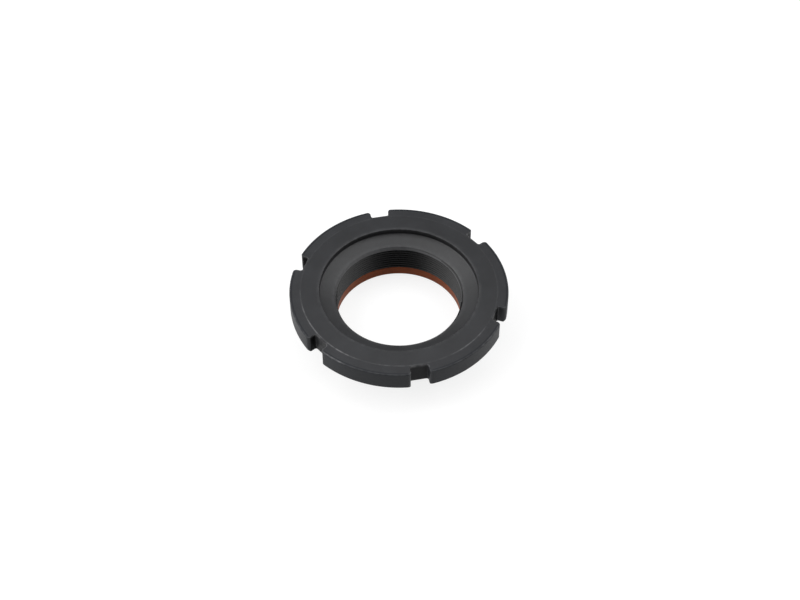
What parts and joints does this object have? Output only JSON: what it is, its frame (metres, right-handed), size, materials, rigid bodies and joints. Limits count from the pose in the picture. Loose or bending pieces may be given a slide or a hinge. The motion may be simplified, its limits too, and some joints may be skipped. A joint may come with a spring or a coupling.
{
  "type": "hub nut",
  "caption": "Round flanged hub nut with spanner slots in the rim, a counterbored clamping face, a fine inner thread and a locking ring rolled into its neck.",
  "frame": {"origin": "centre of the nut's lower end, in the plane of the rolled lip that it stands on", "axes": "+Z along the thread's axis towards the clamping face, -Y through the middle of one spanner slot, +X through the middle of a tooth of the rim"},
  "size_m": [0.102, 0.1012, 0.0247],
  "materials": {
    "blackened_steel": "satin black oxide on turned steel",
    "brown_fibre": "dull red-brown fibre"
  },
  "bodies": {
    "root": {"nut_body": "blackened_steel", "locking_ring": "brown_fibre"}
  },
  "joints": []
}
